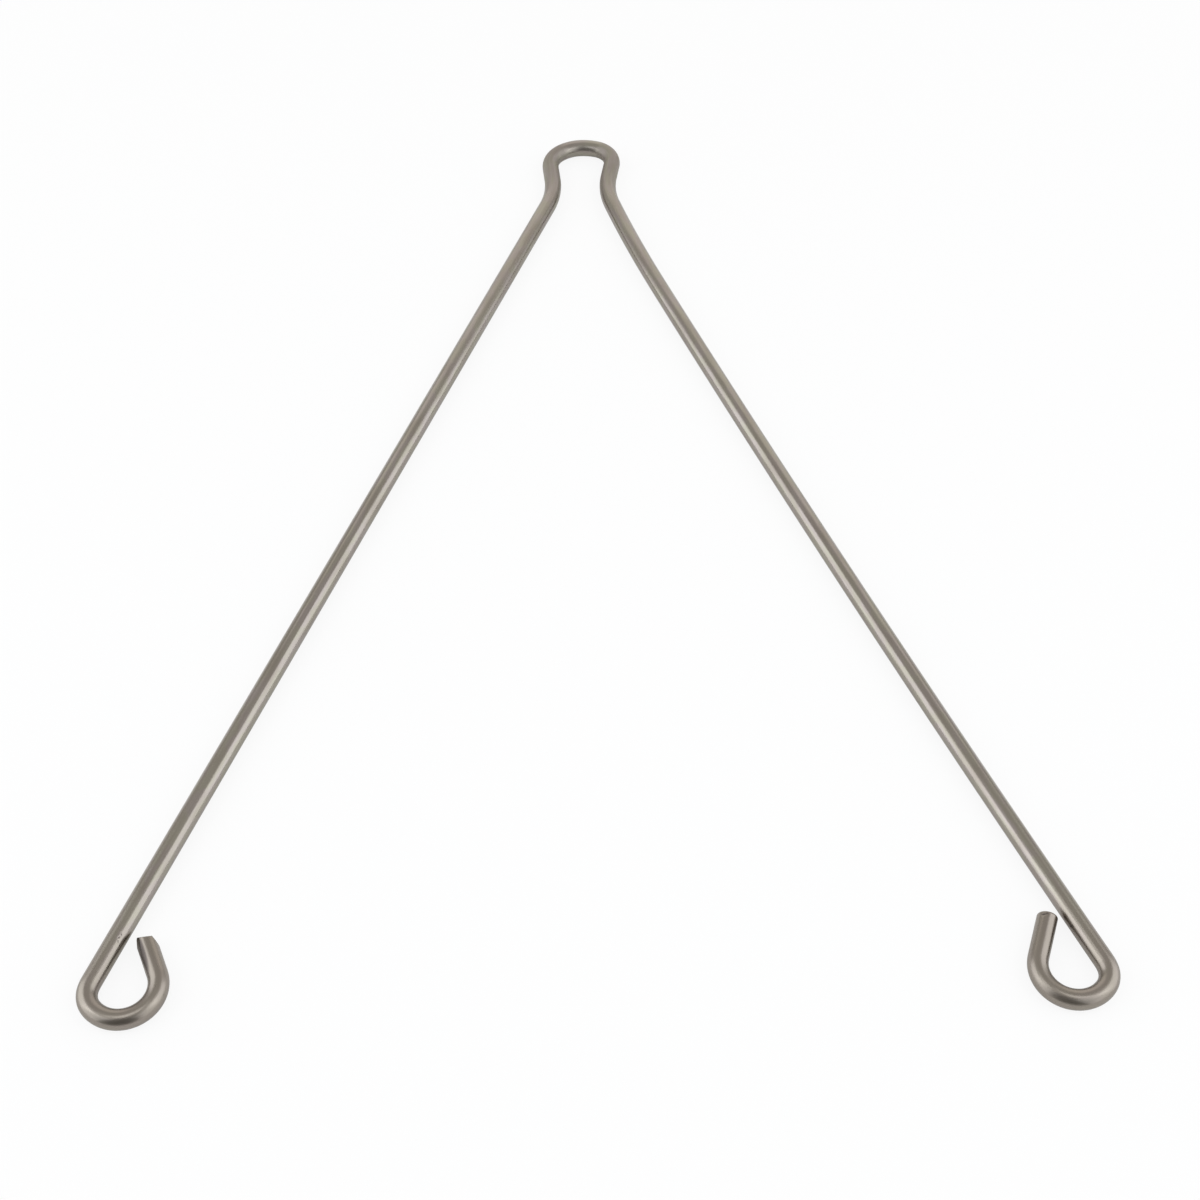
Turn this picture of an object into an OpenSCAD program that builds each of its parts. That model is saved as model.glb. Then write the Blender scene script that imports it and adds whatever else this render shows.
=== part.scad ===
// Bracket spring: one length of round steel wire, bent flat.
// A stud passes through the narrow crown, the two legs spread apart from its
// neck, and each foot is curled inwards into an open eye for a peg or a hook.
// The spring lies flat. The origin is on the stud's axis, in the plane that
// the spring rests on. +Y points from the eyes to the crown, and +Z is up.
// Every bend radius is measured to the centre line of the wire.

/* [Wire] */
// Diameter of the wire
wire_d = 3.2; // [2.6:0.1:3.6]
// Share by which a bend as tight as the wire is thick draws the wire thinner
bend_thinning = 0.004; // [0.001:0.001:0.02]

/* [Stud seat] */
// Diameter of the stud that the crown goes round
stud_d = 6; // [4:0.5:6.5]
// Gap between the stud and the wire over it
stud_gap = 0.6; // [0.2:0.1:1]

/* [Crown] */
// Bend radius over the top, left half
crown_r_left = 7.2; // [6.6:0.1:9]
// Turn of the top, left half, in degrees
crown_turn_left = 38; // [30:1:42]
// Bend radius over the top, right half
crown_r_right = 9.5; // [8:0.1:11]
// Turn of the top, right half, in degrees
crown_turn_right = 18; // [12:1:24]
// Bend radius of the left shoulder
shoulder_r_left = 5; // [4.4:0.1:6]
// Turn of the left shoulder, in degrees
shoulder_turn_left = 57; // [52:1:60]
// Bend radius of the right shoulder
shoulder_r_right = 4.3; // [4:0.1:5.4]
// Turn of the right shoulder, in degrees
shoulder_turn_right = 83; // [78:1:86]
// Straight length below each shoulder
flank_len = 3.5; // [2:0.1:6]
// Radius of the bend that spreads each leg from the neck
neck_r = 17; // [10:0.5:24]

/* [Legs] */
// Angle between the left leg and the centre line at the neck, in degrees
leg_angle_left = 22.7; // [18:0.1:26]
// Angle between the right leg and the centre line at the neck, in degrees
leg_angle_right = 16.9; // [14:0.1:22]
// Length of the left leg, from the neck to its eye
leg_len_left = 181.5; // [140:0.5:220]
// Length of the right leg, from the neck to its eye
leg_len_right = 182; // [140:0.5:220]
// Top stretch of the right leg, which still bends outwards
ease_len = 24; // [15:1:40]
// How far it bends outwards there, in degrees
ease_turn = 4.2; // [2:0.1:6]
// How far the rest of the right leg bows, in degrees
bow_turn = 2.2; // [0.8:0.1:4]

/* [Eyes] */
// Radius of the gentle bend that leads into each eye
entry_r = 6.5; // [5:0.1:9]
// Turn of that bend, in degrees
entry_turn = 11; // [6:1:16]
// Radius of the tight bend at the heel of each eye
heel_r = 3.8; // [3:0.1:5]
// Turn of the heel, in degrees
heel_turn = 52; // [44:1:58]
// Radius of the round part of each eye
eye_r = 5.4; // [5:0.1:6.5]
// Turn of the left eye's round part, in degrees
eye_turn_left = 161; // [150:1:168]
// Turn of the right eye's round part, in degrees
eye_turn_right = 160; // [150:1:168]
// Gap at the mouth of the left eye, between its tail and the leg
mouth_gap_left = 0.7; // [0.3:0.1:3]
// Gap at the mouth of the right eye
mouth_gap_right = 0.5; // [0.3:0.1:3]

/* [Cut ends] */
// Lean of the shear cut across the left tail, in degrees from square
shear_lean = 31; // [10:1:40]
// Turn of the shear cut towards the outside of the eye, in degrees
shear_twist = 14; // [0:1:25]
// Length of the flat that is pinched along the outside of the left tail
pinch_len = 2.4; // [1:0.1:3.5]
// Depth of that flat at the cut
pinch_depth = 0.6; // [0.2:0.1:0.9]
// Width of the broken edge round the right tail's square cut
edge_break = 0.3; // [0.1:0.05:0.6]

/* [Hidden] */
// Facets round the wire, in the preview
$fn = 40;
// Longest facet along a gentle bend, in the preview
longest_facet = 8;
wire_r = wire_d / 2;
// From the stud's axis up to the centre line of the wire over it
crown_y = stud_d / 2 + stud_gap + wire_r;
// A square corner, which the flanks pass and the legs stay short of
square_turn = 90;
// A turn that points the wire straight back along itself
half_turn = 180;
// Turns an arc's length over its radius into degrees
degrees_per_radian = half_turn / PI;
// How far each bend is swept past its ends before it is trimmed
trim_len = 0.5;
// Size of the block that makes each cut, clear of the wire all round
cut_block = 6 * wire_d;

// Straight length of wire along +Y; what follows it starts at its far end
module feed(len) {
    rotate([-90, 0, 0])
        cylinder(h = len, d = wire_d);
    translate([0, len, 0])
        children();
}

// Trims away what lies behind a square plane across the wire
module trim_block() {
    translate([-wire_d, -wire_d, -wire_d])
        cube([2 * wire_d, wire_d, 2 * wire_d]);
}

// Diameter of the wire in a bend, which draws it a few thousandths thinner
function bent_d(r) = wire_d * (1 - bend_thinning * wire_d / r);

// Bend in the plane: a positive turn goes to the left, a negative one to the right.
// It is swept a little too far at both ends and trimmed square, so that it meets
// its neighbours exactly face to face, and what follows starts at its far end.
// The wire's section starts on its right side in every bend, left or right.
module bend(r, turn) {
    side = turn > 0 ? 1 : -1;
    overrun = trim_len / r * degrees_per_radian;
    first_angle = turn > 0 ? 0 : half_turn + turn;
    section_start = turn > 0 ? 0 : half_turn;
    translate([-side * r, 0, 0]) {
        difference() {
            rotate_extrude(start = first_angle - overrun, angle = abs(turn) + 2 * overrun,
                    $fn = max($fn, 2 * PI * r / longest_facet))
                translate([r, 0])
                    rotate(section_start)
                        circle(d = bent_d(r));
            translate([side * r, 0, 0])
                trim_block();
            rotate([0, 0, turn])
                translate([side * r, 0, 0])
                    rotate([0, 0, half_turn])
                        trim_block();
        }
        rotate([0, 0, turn])
            translate([side * r, 0, 0])
                children();
    }
}

// Long stretch of wire that drifts steadily to the right over its length
module drift(len, turn) {
    bend(len / turn * degrees_per_radian, -turn)
        children();
}

// Top half of the loop, from the middle of the crown to the top of the leg
module crown_half(top_r, top_turn, shoulder_r, shoulder_turn, leg_angle) {
    neck_turn = top_turn + shoulder_turn + leg_angle - square_turn;
    bend(top_r, top_turn)
        bend(shoulder_r, shoulder_turn)
            feed(flank_len)
                bend(neck_r, -neck_turn)
                    children();
}

// How far a bend carries the wire sideways, from the turn where it starts to where it ends
function sideways(r, from, to) = r * (cos(from) - cos(to));

// Straight tail that brings a wire end back to within a gap of its own leg
function tail_len(turn, gap) =
    let (heel_start = entry_turn)
    let (round_start = entry_turn + heel_turn)
    let (whole_turn = round_start + turn)
    let (eye_width = sideways(entry_r, 0, heel_start)
        + sideways(heel_r, heel_start, round_start)
        + sideways(eye_r, round_start, whole_turn))
    (eye_width - wire_d - gap) / sin(whole_turn - half_turn);

// Foot of a leg curled into an eye, up to the start of its tail
module eye(turn) {
    bend(entry_r, entry_turn)
        bend(heel_r, heel_turn)
            bend(eye_r, turn)
                children();
}

// Everything beyond a plane across the wire that faces along +Y
module cutting_block() {
    translate([-cut_block / 2, 0, -cut_block / 2])
        cube(cut_block);
}

// Left tail: sheared off at a lean, and pinched flat along its outer side
module sheared_tail(len) {
    difference() {
        feed(len + wire_d);
        translate([0, len, 0])
            rotate([shear_lean, 0, -shear_twist])
                cutting_block();
        translate([wire_r - pinch_depth, len, 0])
            rotate([0, 0, atan(pinch_depth / pinch_len) - square_turn])
                cutting_block();
    }
}

// Right tail: cut square, with its sharp edge broken
module square_tail(len) {
    feed(len - edge_break)
        rotate([-90, 0, 0])
            cylinder(h = edge_break, d1 = wire_d, d2 = wire_d - 2 * edge_break);
}

module left_side() {
    crown_half(crown_r_left, crown_turn_left, shoulder_r_left, shoulder_turn_left, leg_angle_left)
        feed(leg_len_left)
            eye(eye_turn_left)
                sheared_tail(tail_len(eye_turn_left, mouth_gap_left));
}

module right_side() {
    crown_half(crown_r_right, crown_turn_right, shoulder_r_right, shoulder_turn_right, leg_angle_right)
        drift(ease_len, ease_turn)
            drift(leg_len_right - ease_len, bow_turn)
                eye(eye_turn_right)
                    square_tail(tail_len(eye_turn_right, mouth_gap_right));
}

// The whole wire: both sides run from the middle of the crown
module spring_wire() {
    color([0.6, 0.57, 0.53])
        translate([0, crown_y, wire_r]) {
            rotate([0, 0, square_turn])
                left_side();
            mirror([1, 0, 0])
                rotate([0, 0, square_turn])
                    right_side();
        }
}

spring_wire();
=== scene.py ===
# Bracket spring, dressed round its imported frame. Lengths are in metres and turns in degrees.
import math

import bmesh
import bpy
from mathutils import Matrix, Vector


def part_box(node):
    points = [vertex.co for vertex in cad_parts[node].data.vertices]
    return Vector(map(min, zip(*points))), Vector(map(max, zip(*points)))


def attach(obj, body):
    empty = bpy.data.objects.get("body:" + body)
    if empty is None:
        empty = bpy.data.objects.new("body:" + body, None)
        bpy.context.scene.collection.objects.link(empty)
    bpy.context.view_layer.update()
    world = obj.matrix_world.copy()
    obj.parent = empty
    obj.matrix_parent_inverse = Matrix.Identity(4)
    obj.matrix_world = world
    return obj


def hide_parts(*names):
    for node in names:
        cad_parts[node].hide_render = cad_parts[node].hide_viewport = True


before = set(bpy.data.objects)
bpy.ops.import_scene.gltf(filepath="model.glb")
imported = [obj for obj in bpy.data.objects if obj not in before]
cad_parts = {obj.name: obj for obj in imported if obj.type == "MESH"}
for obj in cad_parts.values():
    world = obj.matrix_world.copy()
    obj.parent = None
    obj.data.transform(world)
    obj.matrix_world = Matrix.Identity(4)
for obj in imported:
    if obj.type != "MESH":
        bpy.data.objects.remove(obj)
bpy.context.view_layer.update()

# The wire: one length of round spring steel, drawn through a die and cut off, then bent
# cold round pins from the crown outwards, and last curled into the two eyes. It lies
# flat, and nothing is fixed to it. Every bend radius goes to the centre line.
mm = 0.001
low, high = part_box("spring_wire")
wire_r = (high.z - low.z) / 2
wire_d = 2 * wire_r
crown_middle = Vector((0, high.y - wire_r, wire_r))
flank_len = 3.5 * mm
neck_r = 17 * mm
entry_r = 6.5 * mm
entry_turn = 11
heel_r = 3.8 * mm
heel_turn = 52
eye_r = 5.4 * mm
square_turn = 90
half_turn = 180

# How fine the mesh is: facets round the wire, and the longest step along it
sides_round_wire = 120
leg_step = 1.5 * mm
bend_step = 0.45 * mm
tail_step = 0.2 * mm


class WireEnd:
    """A free end of the wire while it is bent: its last ring, where that is and where it heads.

    Its hand is 1 where inward bends turn to the left, and -1 where they turn to the right.
    """

    def __init__(self, mesh, ring, place, heading, hand):
        self.mesh = mesh
        self.ring = ring
        self.place = place
        self.heading = heading
        self.hand = hand
        self.along = 0.0

    def ahead(self):
        return Vector((math.cos(self.heading), math.sin(self.heading), 0))

    def outward(self):
        """Towards the outside of the spring, square to the wire"""
        return Matrix.Rotation(-self.hand * math.pi / 2, 3, "Z") @ self.ahead()

    def take(self, geom, step, edge_strain):
        """The ring just made is the end now, a step further along the drawn wire"""
        self.ring = geom
        self.along += step
        for vert in geom:
            if isinstance(vert, bmesh.types.BMVert):
                place = vert[drawn]
                vert[drawn] = (place.x, place.y, self.hand * self.along)
                vert[strain] = edge_strain * place.x / wire_r

    def feed(self, length, longest):
        """Straight wire"""
        count = math.ceil(length / longest)
        step = length / count
        for _ in range(count):
            move = self.ahead() * step
            spun = bmesh.ops.spin(
                self.mesh, geom=self.ring, cent=self.place, axis=(0, 0, 1), dvec=move, angle=0, steps=1
            )
            self.take(spun["geom_last"], step, 0)
            self.place = self.place + move

    def bend(self, radius, turn, longest=bend_step):
        """Bend about a pin on the inner side, or on the outer side where the turn is negative"""
        length = radius * math.radians(abs(turn))
        count = math.ceil(length / longest)
        angle = self.hand * math.radians(turn) / count
        pin = self.place - self.outward() * math.copysign(radius, turn)
        for _ in range(count):
            spun = bmesh.ops.spin(
                self.mesh, geom=self.ring, cent=pin, axis=(0, 0, 1), dvec=(0, 0, 0), angle=angle, steps=1
            )
            self.take(spun["geom_last"], length / count, math.copysign(wire_r / radius, turn))
            self.place = pin + Matrix.Rotation(angle, 3, "Z") @ (self.place - pin)
            self.heading += angle


def bend_top(end, crown_r, crown_turn, shoulder_r, shoulder_turn, leg_angle):
    """Half of the crown, a shoulder, a straight flank, and the neck that spreads the leg"""
    end.bend(crown_r, crown_turn)
    end.bend(shoulder_r, shoulder_turn)
    end.feed(flank_len, bend_step)
    end.bend(neck_r, square_turn - crown_turn - shoulder_turn - leg_angle)


def drift(end, length, turn):
    """Long stretch that leans steadily outwards over its length"""
    end.bend(length / math.radians(turn), -turn, leg_step)


def curl_eye(end, turn):
    end.bend(entry_r, entry_turn)
    end.bend(heel_r, heel_turn)
    end.bend(eye_r, turn)


def tail_length(turn, gap):
    """Straight tail that brings the wire's end back to within a gap of its own leg"""
    sideways = 0
    begin = 0
    for radius, stretch in ((entry_r, entry_turn), (heel_r, heel_turn), (eye_r, turn)):
        finish = begin + stretch
        sideways += radius * (math.cos(math.radians(begin)) - math.cos(math.radians(finish)))
        begin = finish
    return (sideways - wire_d - gap) / math.sin(math.radians(begin - half_turn))


# Each point of the skin keeps its place in the drawn wire before any bend, how far it was
# strained, and how dark a mark or painted shade it lies in
wire = bmesh.new()
drawn = wire.verts.layers.float_vector.new("drawn")
strain = wire.verts.layers.float.new("strain")
scar_and_painted_shade = wire.verts.layers.float.new("scar_and_painted_shade")
stand = Matrix.Translation(crown_middle) @ Matrix.Rotation(math.pi / 2, 4, "Y")
bmesh.ops.create_circle(wire, cap_ends=False, segments=sides_round_wire, radius=wire_r, matrix=stand)
for vert in wire.verts:
    vert[drawn] = (vert.co.y - crown_middle.y, vert.co.z - crown_middle.z, 0)
first_ring = list(wire.verts) + list(wire.edges)

left_leg_len = 181.5 * mm
left_eye_turn = 161
left_mouth_gap = 0.7 * mm
left = WireEnd(wire, first_ring, crown_middle, heading=math.pi, hand=1)
bend_top(left, crown_r=7.2 * mm, crown_turn=38, shoulder_r=5 * mm, shoulder_turn=57, leg_angle=22.7)
left.feed(left_leg_len, leg_step)
curl_eye(left, left_eye_turn)
left.feed(tail_length(left_eye_turn, left_mouth_gap), tail_step)

right_eye_turn = 160
right_mouth_gap = 0.5 * mm
right = WireEnd(wire, first_ring, crown_middle, heading=0, hand=-1)
bend_top(right, crown_r=9.5 * mm, crown_turn=18, shoulder_r=4.3 * mm, shoulder_turn=83, leg_angle=16.9)
drift(right, length=24 * mm, turn=4.2)
drift(right, length=158 * mm, turn=2.2)
curl_eye(right, right_eye_turn)
right.feed(tail_length(right_eye_turn, right_mouth_gap), tail_step)

# Each end is left a little long, closed, and then cut to its own shape
skin_slot = 0
cut_slot = 1
cut_reach = 4 * mm
cut_snap = 0.002 * mm
overlong = wire_d


def lengthen(end):
    """Spare length beyond the tail, closed off, for the cuts to take away"""
    tip = end.place
    end.feed(overlong, tail_step)
    rim = [edge for edge in end.ring if isinstance(edge, bmesh.types.BMEdge)]
    bmesh.ops.holes_fill(end.mesh, edges=rim, sides=0)
    return tip


def cut_off(end, place, facing, slot):
    """Takes away what lies beyond a plane across the tail, and closes the cut with one face"""
    begin = end.along - overlong - cut_reach
    faces = [f for f in end.mesh.faces if all(v[drawn].z * end.hand > begin for v in f.verts)]
    edges = list({edge for face in faces for edge in face.edges})
    verts = list({vert for face in faces for vert in face.verts})
    cut = bmesh.ops.bisect_plane(
        end.mesh,
        geom=verts + edges + faces,
        dist=cut_snap,
        plane_co=place,
        plane_no=facing,
        clear_outer=True,
    )
    rim = [edge for edge in cut["geom_cut"] if isinstance(edge, bmesh.types.BMEdge)]
    return bmesh.ops.edgeloop_fill(end.mesh, edges=rim, mat_nr=slot, use_smooth=False)["faces"][0]


def round_rim(mesh, face, inset, rise, steps):
    """Rolls the rim of a cut face over in a quarter oval, with the face itself left flat"""
    for step in range(steps):
        before = math.radians(square_turn * step / steps)
        after = math.radians(square_turn * (step + 1) / steps)
        inward = inset * (math.cos(before) - math.cos(after))
        forward = rise * (math.sin(after) - math.sin(before))
        rolled = bmesh.ops.inset_region(mesh, faces=[face], thickness=inward, depth=forward)
        for strip in rolled["faces"]:
            strip.material_index = skin_slot
            strip.smooth = True


def pinch(end, tip, sideways, length, depth):
    """Flat along one side of the tail, that deepens towards the tip"""
    lean = math.atan(depth / length)
    facing = sideways * math.cos(lean) + end.ahead() * math.sin(lean)
    cut_off(end, tip + sideways * (wire_r - depth), facing, skin_slot)


# The left end was sheared off at a lean, and the jaws pinched both its sides flat
shear_lean = math.radians(31)
shear_twist = math.radians(14)
shear_rim = 0.05 * mm
shear_rim_steps = 2
shear_stub = 0.22 * mm
left_tip = lengthen(left) + left.ahead() * shear_stub
facet_rise = math.radians(27)
facet_side = -left.outward() * math.cos(facet_rise) + Vector((0, 0, math.sin(facet_rise)))
pinch(left, left_tip, left.outward(), length=2.5 * mm, depth=0.95 * mm)
pinch(left, left_tip, -left.outward(), length=1.5 * mm, depth=0.38 * mm)
pinch(left, left_tip, -left.outward(), length=0.8 * mm, depth=0.52 * mm)
pinch(left, left_tip, facet_side, length=3.5 * mm, depth=0.3 * mm)
shear_across = left.outward() * math.sin(shear_twist) + left.ahead() * math.cos(shear_twist)
shear_facing = shear_across * math.cos(shear_lean) + Vector((0, 0, math.sin(shear_lean)))
sheared = cut_off(left, left_tip - shear_facing * shear_rim, shear_facing, cut_slot)
round_rim(wire, sheared, inset=shear_rim, rise=shear_rim, steps=shear_rim_steps)

# The right end was cut nearly square, and its edge was rolled over into a low dome
off_square = math.radians(3)
dome_inset = 0.85 * mm
dome_rise = 0.5 * mm
dome_steps = 6
dome_stub = 0.4 * mm
right_tip = lengthen(right) + right.ahead() * dome_stub
end_facing = right.ahead() * math.cos(off_square) + right.outward() * math.sin(off_square)
squared = cut_off(right, right_tip - right.ahead() * dome_rise, end_facing, cut_slot)
round_rim(wire, squared, inset=dome_inset, rise=dome_rise, steps=dome_steps)

# Marks of use and of the bending tools: the legs get finer rings where a mark lies, and
# each mark moves the skin in. A mark's place is its distance along the wire from the
# crown's middle, and its angle round the wire from the outer side upwards.
mark_low = 188 * mm
mark_high = 198 * mm
cuts_per_leg_step = 11


def lengthwise(edge):
    """Tells an edge along the wire, within the marked stretch of a leg, from one round it"""
    ends = sorted(abs(vert[drawn].z) for vert in edge.verts)
    return ends[1] - ends[0] > leg_step / 2 and ends[0] > mark_low and ends[1] < mark_high


long_edges = [edge for edge in wire.edges if lengthwise(edge)]
bmesh.ops.subdivide_edges(wire, edges=long_edges, cuts=cuts_per_leg_step)
bmesh.ops.recalc_face_normals(wire, faces=wire.faces)
wire.normal_update()
markable = [vert for vert in wire.verts if abs(vert[drawn].z) > mark_low]


def skin_near(end, along, reach):
    """Points of the skin near a place on the wire, each with how far ahead it is and its angle"""
    for vert in markable:
        place = vert[drawn]
        if abs(place.z * end.hand - along) < reach:
            yield vert, place.z * end.hand - along, math.degrees(math.atan2(place.y, place.x))


def press(vert, depth, darkness):
    """Moves a point of the skin in, and darkens it"""
    vert.co -= vert.normal * depth
    vert[scar_and_painted_shade] = max(vert[scar_and_painted_shade], darkness)


def dent_and_painted_shade(end, along, angle, length, width, depth, darkness, lean=0):
    """Small oval dent, darkened, whose length leans from the wire's direction. With no depth it is only a
    darkened oval, used as painted shade
    """
    lean_sin = math.sin(math.radians(lean))
    lean_cos = math.cos(math.radians(lean))
    for vert, ahead, vert_angle in skin_near(end, along, length):
        round_wire = math.radians(vert_angle - angle) * wire_r
        lengthways = ahead * lean_cos + round_wire * lean_sin
        sideways = round_wire * lean_cos - ahead * lean_sin
        spread = (2 * lengthways / length) ** 2 + (2 * sideways / width) ** 2
        if spread < 1:
            press(vert, depth * (1 - spread) ** 2, darkness * (1 - spread))


# Short crooked pit on the inner side of the left leg
pit_width = 0.35 * mm
pit_depth = 0.05 * mm
dent_and_painted_shade(left, 194.9 * mm, angle=122, length=0.9 * mm, width=pit_width, depth=pit_depth, darkness=0.65, lean=50)
dent_and_painted_shade(left, 195.5 * mm, angle=119, length=0.7 * mm, width=pit_width, depth=pit_depth, darkness=0.65, lean=-30)
dent_and_painted_shade(left, 196.1 * mm, angle=126, length=0.8 * mm, width=pit_width, depth=pit_depth, darkness=0.6, lean=35)

# Nick in the right leg, where the tip of its tail strikes when the eye is squeezed: a brown
# graze and a shallow hollow that end in a dark corner, with a light graze a little before
dent_and_painted_shade(right, 193.3 * mm, angle=154, length=1.2 * mm, width=0.5 * mm, depth=0.006 * mm, darkness=0.25)
dent_and_painted_shade(right, 194.8 * mm, angle=158, length=1.4 * mm, width=0.5 * mm, depth=0.012 * mm, darkness=0)
dent_and_painted_shade(right, 196.2 * mm, angle=160, length=0.9 * mm, width=0.6 * mm, depth=0.05 * mm, darkness=0.9, lean=-40)
dent_and_painted_shade(right, 190.6 * mm, angle=151, length=0.8 * mm, width=0.25 * mm, depth=0.015 * mm, darkness=0.2)

# Fleck by the left eye, painted shade along the inner side of its tail, and dents in the rim
# of the right end
left_end = left.along - overlong
right_end = right.along - overlong
dent_and_painted_shade(left, 219.4 * mm, angle=33, length=0.7 * mm, width=0.35 * mm, depth=0.03 * mm, darkness=0.6, lean=70)
# Painted shade, with no dent: darkens the inner side of the left tail where it faces the shadowed gap by its
# leg, and narrows its highlight
dent_and_painted_shade(left, left_end - 2.5 * mm, angle=134, length=10 * mm, width=1.6 * mm, depth=0, darkness=1)
dent_and_painted_shade(
    right,
    right_end - 0.55 * mm,
    angle=64,
    length=1.0 * mm,
    width=0.5 * mm,
    depth=0.08 * mm,
    darkness=0.9,
    lean=80,
)
dent_and_painted_shade(
    right,
    right_end - 0.3 * mm,
    angle=82,
    length=0.8 * mm,
    width=0.4 * mm,
    depth=0.06 * mm,
    darkness=0.8,
    lean=80,
)

# The skin is laid out flat for its texture, in strips side by side along the wire
strip_count = 7
strip_gap = 0.5 * mm
girth = 2 * math.pi * wire_r
strip_len = (left.along + right.along) / strip_count
sheet = strip_count * (girth + strip_gap)
laid_out = wire.loops.layers.uv.new("OFBake")
cut_count = 0
for face in wire.faces:
    if face.material_index == cut_slot:
        cut_count += 1
        patch = Vector((cut_count * 2 * wire_d, strip_len + wire_d))
        side = face.normal.cross(Vector((0, 0, 1))).normalized()
        rise = side.cross(face.normal)
        middle = face.calc_center_median()
        for loop in face.loops:
            reach = loop.vert.co - middle
            loop[laid_out].uv = (patch + Vector((reach.dot(side), reach.dot(rise)))) / sheet
    else:
        middle = sum((vert[drawn] for vert in face.verts), Vector()) / len(face.verts)
        strip = math.floor((middle.z + right.along) / strip_len)
        middle_angle = math.atan2(middle.y, middle.x)
        for loop in face.loops:
            place = loop.vert[drawn]
            step_round = math.remainder(math.atan2(place.y, place.x) - middle_angle, 2 * math.pi)
            round_wire = (middle_angle + step_round + math.pi) * wire_r
            across = strip * (girth + strip_gap) + strip_gap / 2 + round_wire
            loop[laid_out].uv = Vector((across, place.z + right.along - strip * strip_len)) / sheet

# Only the flats, the cuts and the slivers along them have more than four corners, and those
# are not shaded as round
for face in wire.faces:
    face.smooth = face.smooth or len(face.verts) <= 4
wire_mesh = bpy.data.meshes.new("bent_wire")
wire.to_mesh(wire_mesh)
wire.free()
bent_wire = bpy.data.objects.new("bent_wire", wire_mesh)
bpy.context.scene.collection.objects.link(bent_wire)


def add_node(tree, kind, settings, inputs):
    """Node with its settings, and each input set to a value or joined to an output"""
    node = tree.nodes.new(kind)
    for name, value in settings.items():
        setattr(node, name, value)
    for socket, value in inputs.items():
        if isinstance(value, bpy.types.NodeSocket):
            tree.links.new(value, node.inputs[socket])
        else:
            node.inputs[socket].default_value = value
    return node


def sum_up(tree, operation, *values):
    """Output of a Math node"""
    return add_node(tree, "ShaderNodeMath", {"operation": operation}, dict(enumerate(values))).outputs[0]


def ramp(tree, value, low_in, high_in, low_out, high_out):
    """Carries a value smoothly from one range to another, and stops at its ends"""
    settings = {"interpolation_type": "SMOOTHSTEP"}
    inputs = {"Value": value, "From Min": low_in, "From Max": high_in, "To Min": low_out, "To Max": high_out}
    return add_node(tree, "ShaderNodeMapRange", settings, inputs).outputs["Result"]


def blend_colours(tree, share, first, second):
    """Goes from the first colour to the second as the share goes from 0 to 1"""
    first_socket = 6
    second_socket = 7
    colour_output = 2
    inputs = {0: share, first_socket: first, second_socket: second}
    return add_node(tree, "ShaderNodeMix", {"data_type": "RGBA"}, inputs).outputs[colour_output]


# Streaks: ridges and stains drawn out along one direction, as a die or a shear leaves them
streaks = bpy.data.node_groups.new("streaks", "ShaderNodeTree")
streaks.interface.new_socket(name="Place", in_out="INPUT", socket_type="NodeSocketVector")
streaks.interface.new_socket(name="Streaks per metre", in_out="INPUT", socket_type="NodeSocketVector")
streaks.interface.new_socket(name="Sharpness", in_out="INPUT", socket_type="NodeSocketFloat")
streaks.interface.new_socket(name="Ridges", in_out="OUTPUT", socket_type="NodeSocketFloat")
streaks_in = streaks.nodes.new("NodeGroupInput").outputs
stretched = add_node(
    streaks,
    "ShaderNodeVectorMath",
    {"operation": "MULTIPLY"},
    {0: streaks_in["Place"], 1: streaks_in["Streaks per metre"]},
)
ridges = add_node(
    streaks,
    "ShaderNodeTexNoise",
    {},
    {"Vector": stretched.outputs[0], "Scale": 1, "Detail": 3, "Roughness": streaks_in["Sharpness"]},
)
add_node(streaks, "NodeGroupOutput", {}, {"Ridges": ridges.outputs[0]})


def streak(tree, place, per_metre, sharpness):
    """Height of the streaks at a place, from about 0 to 1"""
    inputs = {"Place": place, "Streaks per metre": per_metre, "Sharpness": sharpness}
    return add_node(tree, "ShaderNodeGroup", {"node_tree": streaks}, inputs).outputs["Ridges"]


def read_layer(tree, name):
    """Node that reads a value kept on the mesh"""
    return add_node(tree, "ShaderNodeAttribute", {"attribute_name": name}, {})


# Skin of the drawn wire: grey steel with fine lines along it, a faint brown tarnish in
# patches, a darker colour over the eyes, a dull grain where a bend has strained it and most
# of all on the shoulders beside the crown, dirt in its dents, and painted shade along the
# inner side of the left tail
steel_colour = (0.35, 0.33, 0.275, 1)
grey_colour = (0.36, 0.323, 0.3, 1)
tarnish_colour = (0.285, 0.25, 0.215, 1)
# Colour of the dirt in the dents, also used for the painted shade along the left tail
dirt_and_shade_colour = (0.1, 0.085, 0.08, 1)
skin = bpy.data.materials.new("drawn_spring_steel")
skin.use_nodes = True
tree = skin.node_tree
shader = tree.nodes["Principled BSDF"]
on_wire = read_layer(tree, "drawn").outputs["Vector"]
strained = sum_up(tree, "ABSOLUTE", read_layer(tree, "strain").outputs["Fac"])
scarred_and_painted_shade = read_layer(tree, "scar_and_painted_shade").outputs["Fac"]
die_lines = streak(tree, on_wire, per_metre=(4200, 4200, 90), sharpness=0.6)
stains = streak(tree, on_wire, per_metre=(650, 650, 110), sharpness=0.55)
waves = streak(tree, on_wire, per_metre=(900, 900, 260), sharpness=0.3)
grain = streak(tree, on_wire, per_metre=(7000, 7000, 3500), sharpness=0.6)

# Where along the wire the crown's middle, the shoulders, the legs and the eyes begin and end
signed = add_node(tree, "ShaderNodeSeparateXYZ", {}, {0: on_wire}).outputs["Z"]
from_crown = sum_up(tree, "ABSOLUTE", signed)
on_eye = ramp(tree, from_crown, 188 * mm, 204 * mm, 0, 1)
before_leg = ramp(tree, from_crown, 12 * mm, 21 * mm, 1, 0)
crown_dull = 0.06
shoulder_dull = 0.34
top_dull = ramp(tree, from_crown, 3 * mm, 4.8 * mm, crown_dull, shoulder_dull)
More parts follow.
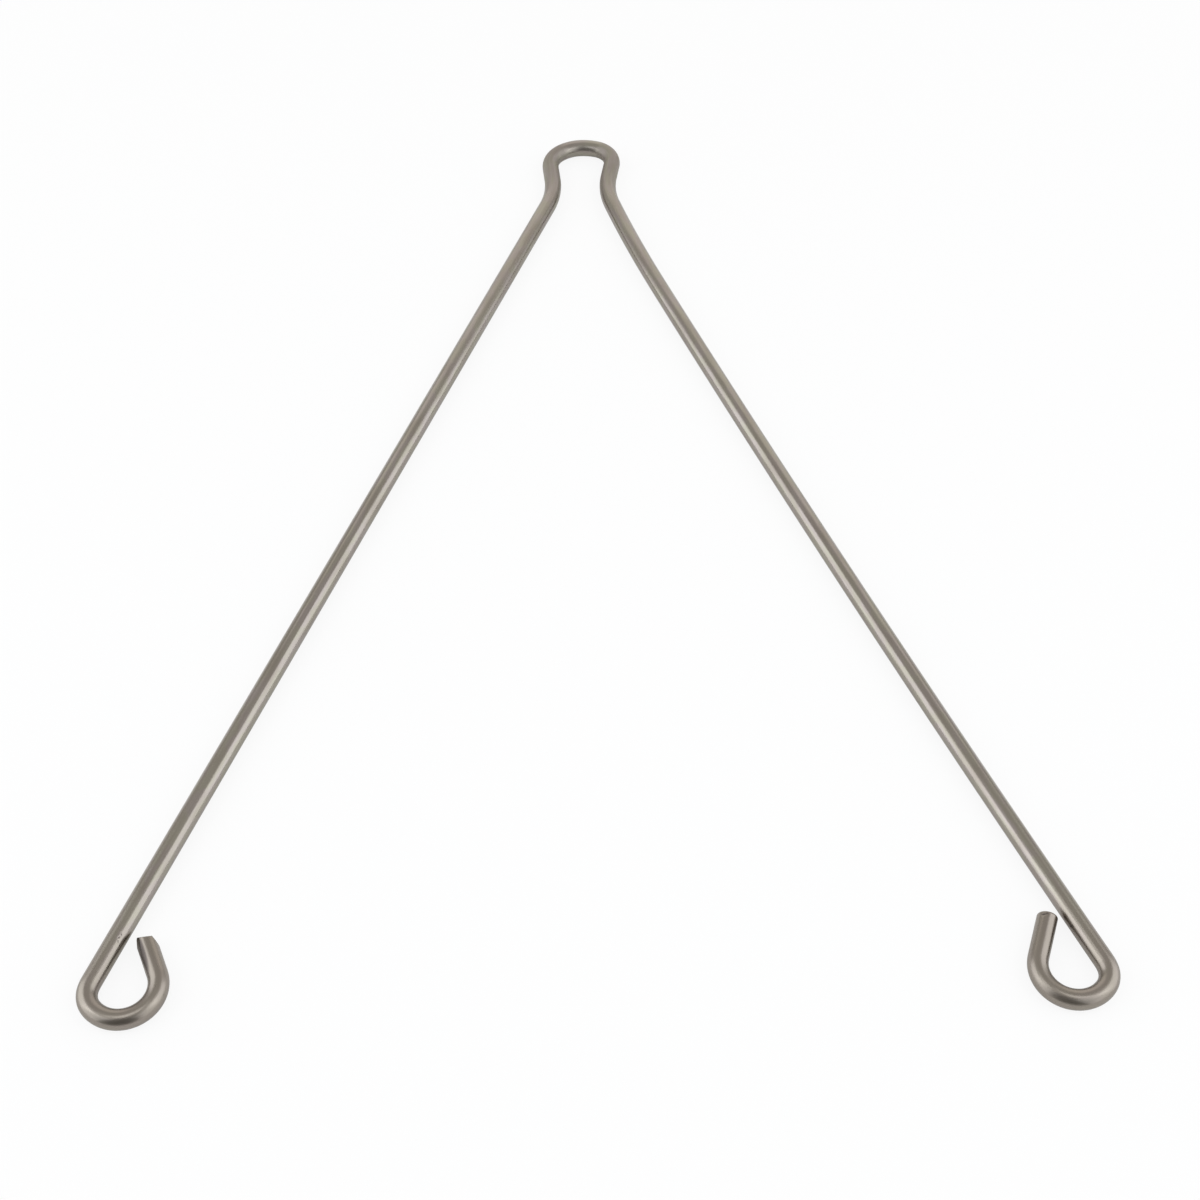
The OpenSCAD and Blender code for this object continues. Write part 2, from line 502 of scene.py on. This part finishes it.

# Colour: two greys in faint waves, then tarnish and the darker eyes, then the draw lines, then dirt and
# painted shade
most_in_patches = 0.65
most_on_eye = 0.8
most_in_lines = 0.35
most_dirt_and_shade = 0.85
patches = ramp(tree, stains, 0.4, 0.7, 0, most_in_patches)
# Tarnish in patches, and the eyes made darker over their whole length, towards the tarnish colour
tarnish_and_darker_eyes = sum_up(tree, "MAXIMUM", patches, sum_up(tree, "MULTIPLY", on_eye, most_on_eye))
line_shade = ramp(tree, die_lines, 0.35, 0.65, 0, most_in_lines)
tint = ramp(tree, waves, 0.4, 0.6, 0, 1)
# Dirt in the dents, and painted shade along the inner side of the left tail
dirt_and_painted_shade = ramp(tree, scarred_and_painted_shade, 0.05, 0.8, 0, most_dirt_and_shade)
bright = blend_colours(tree, tint, steel_colour, grey_colour)
clean = blend_colours(tree, tarnish_and_darker_eyes, bright, tarnish_colour)
lined = blend_colours(tree, line_shade, clean, tarnish_colour)
tree.links.new(blend_colours(tree, dirt_and_painted_shade, lined, dirt_and_shade_colour), shader.inputs["Base Color"])
shader.inputs["Metallic"].default_value = 1

# Roughness: each thing that dulls the skin adds its own amount
bright_roughness = 0.17
dull = bright_roughness
for amount, cause in ((0.12, stains), (0.14, strained), (0.25, scarred_and_painted_shade), (0.05, on_eye)):
    dull = sum_up(tree, "MULTIPLY_ADD", cause, amount, dull)
dull = sum_up(tree, "MULTIPLY_ADD", top_dull, before_leg, dull)
tree.links.new(dull, shader.inputs["Roughness"])

# Relief, in shares of its depth: draw lines, waves, and a grain that grows with the strain
relief = 0.003 * mm
line_share = 1.5
wave_share = 3
grain_share = 0.3
grain_per_strain = 1.6
strain_grain = sum_up(tree, "MULTIPLY_ADD", strained, grain_per_strain, grain_share)
lines_height = sum_up(tree, "MULTIPLY", die_lines, line_share)
grain_height = sum_up(tree, "MULTIPLY_ADD", grain, strain_grain, lines_height)
height = sum_up(tree, "MULTIPLY_ADD", waves, wave_share, grain_height)
bump = add_node(tree, "ShaderNodeBump", {}, {"Strength": 1, "Distance": relief, "Height": height})
tree.links.new(bump.outputs["Normal"], shader.inputs["Normal"])
wire_mesh.materials.append(skin)

# Cut ends: bare torn steel with the streaks of the shear across it
cut_steel = bpy.data.materials.new("sheared_steel")
cut_steel.use_nodes = True
tree = cut_steel.node_tree
shader = tree.nodes["Principled BSDF"]
on_wire = read_layer(tree, "drawn").outputs["Vector"]
shear_lines = streak(tree, on_wire, per_metre=(5000, 500, 500), sharpness=0.6)
tear = streak(tree, on_wire, per_metre=(2500, 2500, 2500), sharpness=0.7)
most_torn = 0.8
torn = ramp(tree, tear, 0.35, 0.7, 0, most_torn)
tree.links.new(blend_colours(tree, torn, steel_colour, tarnish_colour), shader.inputs["Base Color"])
shader.inputs["Metallic"].default_value = 1
cut_roughness = 0.25
tear_roughness = 0.3
cut_dull = sum_up(tree, "MULTIPLY_ADD", tear, tear_roughness, cut_roughness)
tree.links.new(cut_dull, shader.inputs["Roughness"])
height = sum_up(tree, "ADD", shear_lines, tear)
tear_relief = 0.02 * mm
bump = add_node(tree, "ShaderNodeBump", {}, {"Strength": 1, "Distance": tear_relief, "Height": height})
tree.links.new(bump.outputs["Normal"], shader.inputs["Normal"])
wire_mesh.materials.append(cut_steel)

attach(bent_wire, "root")
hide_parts("spring_wire")

# The table: a plain white sheet that the spring lies on. The camera sees it nearly white
# by its own share of light, the metal sees a smaller share, and the rest of it takes the
# light of the lamps and the spring's shadow.
table_half = 6.0
white_share = 0.88
mirrored_share = 0.3
paper_colour = (0.9, 0.9, 0.9, 1)
table_mesh = bpy.data.meshes.new("table")
sheet_of_paper = bmesh.new()
bmesh.ops.create_grid(sheet_of_paper, x_segments=1, y_segments=1, size=table_half)
sheet_of_paper.to_mesh(table_mesh)
sheet_of_paper.free()
table = bpy.data.objects.new("table", table_mesh)
bpy.context.scene.collection.objects.link(table)
paper = bpy.data.materials.new("white_paper")
paper.use_nodes = True
tree = paper.node_tree
tree.nodes.clear()
rays = tree.nodes.new("ShaderNodeLightPath").outputs
mirrored = sum_up(tree, "MAXIMUM", rays["Is Glossy Ray"], rays["Is Transmission Ray"])
mirrored_white = sum_up(tree, "MULTIPLY", mirrored, mirrored_share)
share = sum_up(tree, "MULTIPLY_ADD", rays["Is Camera Ray"], white_share, mirrored_white)
matte = add_node(tree, "ShaderNodeBsdfDiffuse", {}, {"Color": paper_colour}).outputs[0]
white = add_node(tree, "ShaderNodeEmission", {}, {"Strength": 1}).outputs[0]
mix = add_node(tree, "ShaderNodeMixShader", {}, {0: share, 1: matte, 2: white}).outputs[0]
add_node(tree, "ShaderNodeOutputMaterial", {}, {"Surface": mix})
table_mesh.materials.append(paper)

# The studio: a small light tent. Its walls are pale all round and darker on the near side,
# which is open for the camera. Soft boxes stand to the left, the right and behind, and two
# short ones hang on either side of the camera. Azimuth 0 is towards the camera and turns to
# the right; a lamp's level adds to the wall behind it.
studio_middle = Vector((0, -0.1, 0))
tent_reach = 0.55


def direction(azimuth, elevation):
    """Unit vector from the spring towards a part of the studio"""
    turn = math.radians(azimuth)
    rise = math.radians(elevation)
    return Vector((math.sin(turn) * math.cos(rise), -math.cos(turn) * math.cos(rise), math.sin(rise)))


def softbox(name, azimuth, elevation, width, height, level, colour, reach=tent_reach):
    """Lamp that fills so many degrees of width and height, seen from the spring"""
    lamp = bpy.data.lights.new(name, "AREA")
    lamp.shape = "RECTANGLE"
    lamp.size = 2 * reach * math.tan(math.radians(width / 2))
    lamp.size_y = 2 * reach * math.tan(math.radians(height / 2))
    lamp.energy = level * math.pi * lamp.size * lamp.size_y
    lamp.color = colour
    box = bpy.data.objects.new(name, lamp)
    towards = direction(azimuth, elevation)
    box.location = studio_middle + towards * reach
    box.rotation_euler = (-towards).to_track_quat("-Z", "Y").to_euler()
    box.visible_camera = False
    bpy.context.scene.collection.objects.link(box)


cool = (0.95, 1, 1.06)
warm = (1.04, 1, 0.96)
softbox("left_box", azimuth=-98, elevation=26, width=42, height=52, level=1.3, colour=cool)
softbox("left_fill", azimuth=-62, elevation=29, width=34, height=54, level=0.98, colour=cool)
softbox("right_box", azimuth=91, elevation=28, width=48, height=56, level=1.18, colour=cool)
softbox("right_fill", azimuth=46, elevation=31, width=42, height=56, level=0.78, colour=cool)
softbox("back_panel", azimuth=174, elevation=23, width=68, height=44, level=0.45, colour=warm)
softbox("left_strip", azimuth=-50, elevation=68, width=20, height=24, level=1.3, colour=cool, reach=0.32)
softbox("right_strip", azimuth=52, elevation=64, width=18, height=24, level=1.05, colour=cool, reach=0.34)

wall_level = 0.6
wall_colour = (1.02, 1, 0.97, 1)
gap_level = 0.19
world = bpy.data.worlds.new("studio")
bpy.context.scene.world = world
world.use_nodes = True
tree = world.node_tree
look = tree.nodes.new("ShaderNodeTexCoord").outputs["Generated"]
gap = direction(azimuth=-8, elevation=32)
gap_edge = math.cos(math.radians(52))
gap_core = math.cos(math.radians(26))
towards_gap = add_node(tree, "ShaderNodeVectorMath", {"operation": "DOT_PRODUCT"}, {0: look, 1: gap})
level = ramp(tree, towards_gap.outputs["Value"], gap_edge, gap_core, wall_level, gap_level)
tree.links.new(level, tree.nodes["Background"].inputs["Strength"])
tree.nodes["Background"].inputs["Color"].default_value = wall_colour

# The camera looks down on the table from the near side, as in the photograph
lens_mm = 64.92
sensor_mm = 36
nearest_seen = 0.01
look_at = Vector((0.000126, -0.110295, 0.0016))
pitch = math.radians(52)
yaw = math.radians(1.765)
distance = 0.3645
ahead = Vector((math.sin(yaw) * math.cos(pitch), math.cos(yaw) * math.cos(pitch), -math.sin(pitch)))
camera_data = bpy.data.cameras.new("camera")
camera_data.lens = lens_mm
camera_data.sensor_width = sensor_mm
camera_data.clip_start = nearest_seen
camera = bpy.data.objects.new("camera", camera_data)
camera.location = look_at - ahead * distance
camera.rotation_euler = ahead.to_track_quat("-Z", "Y").to_euler()
bpy.context.scene.collection.objects.link(camera)
bpy.context.scene.camera = camera
bpy.context.scene.view_settings.view_transform = "Standard"
